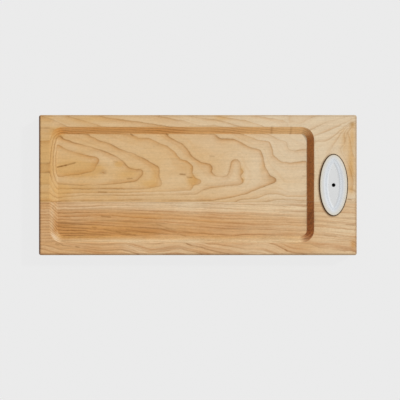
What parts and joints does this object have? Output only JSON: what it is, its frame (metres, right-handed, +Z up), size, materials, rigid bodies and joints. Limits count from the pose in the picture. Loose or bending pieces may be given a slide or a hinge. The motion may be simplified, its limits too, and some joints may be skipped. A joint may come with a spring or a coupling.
{
  "type": "wooden serving board",
  "caption": "Oblong two-stave maple serving board with a slope-walled well, and a glazed oval plate with a small socket let into one end.",
  "frame": {"origin": "under the middle of the board, on the surface that the feet stand on", "axes": "+X along the board towards the oval plate, +Y across it towards the wide stave's outer edge, +Z up"},
  "size_m": [0.457, 0.2014, 0.0245],
  "materials": {
    "maple": "satin",
    "pink_maple": "satin",
    "glaze": "gloss",
    "silicone": "satin",
    "black_rubber": "matte",
    "grey_rubber": "matte",
    "steel": "satin"
  },
  "bodies": {
    "root": {"stave_wide": "maple", "stave_narrow": "pink_maple", "oval_plate": "glaze", "plate_bond": "silicone", "socket_bush": "black_rubber", "foot_far_left": "grey_rubber", "foot_far_right": "grey_rubber", "foot_near_left": "grey_rubber", "foot_near_right": "grey_rubber", "foot_screw_far_left": "steel", "foot_screw_far_right": "steel", "foot_screw_near_left": "steel", "foot_screw_near_right": "steel"}
  },
  "joints": []
}
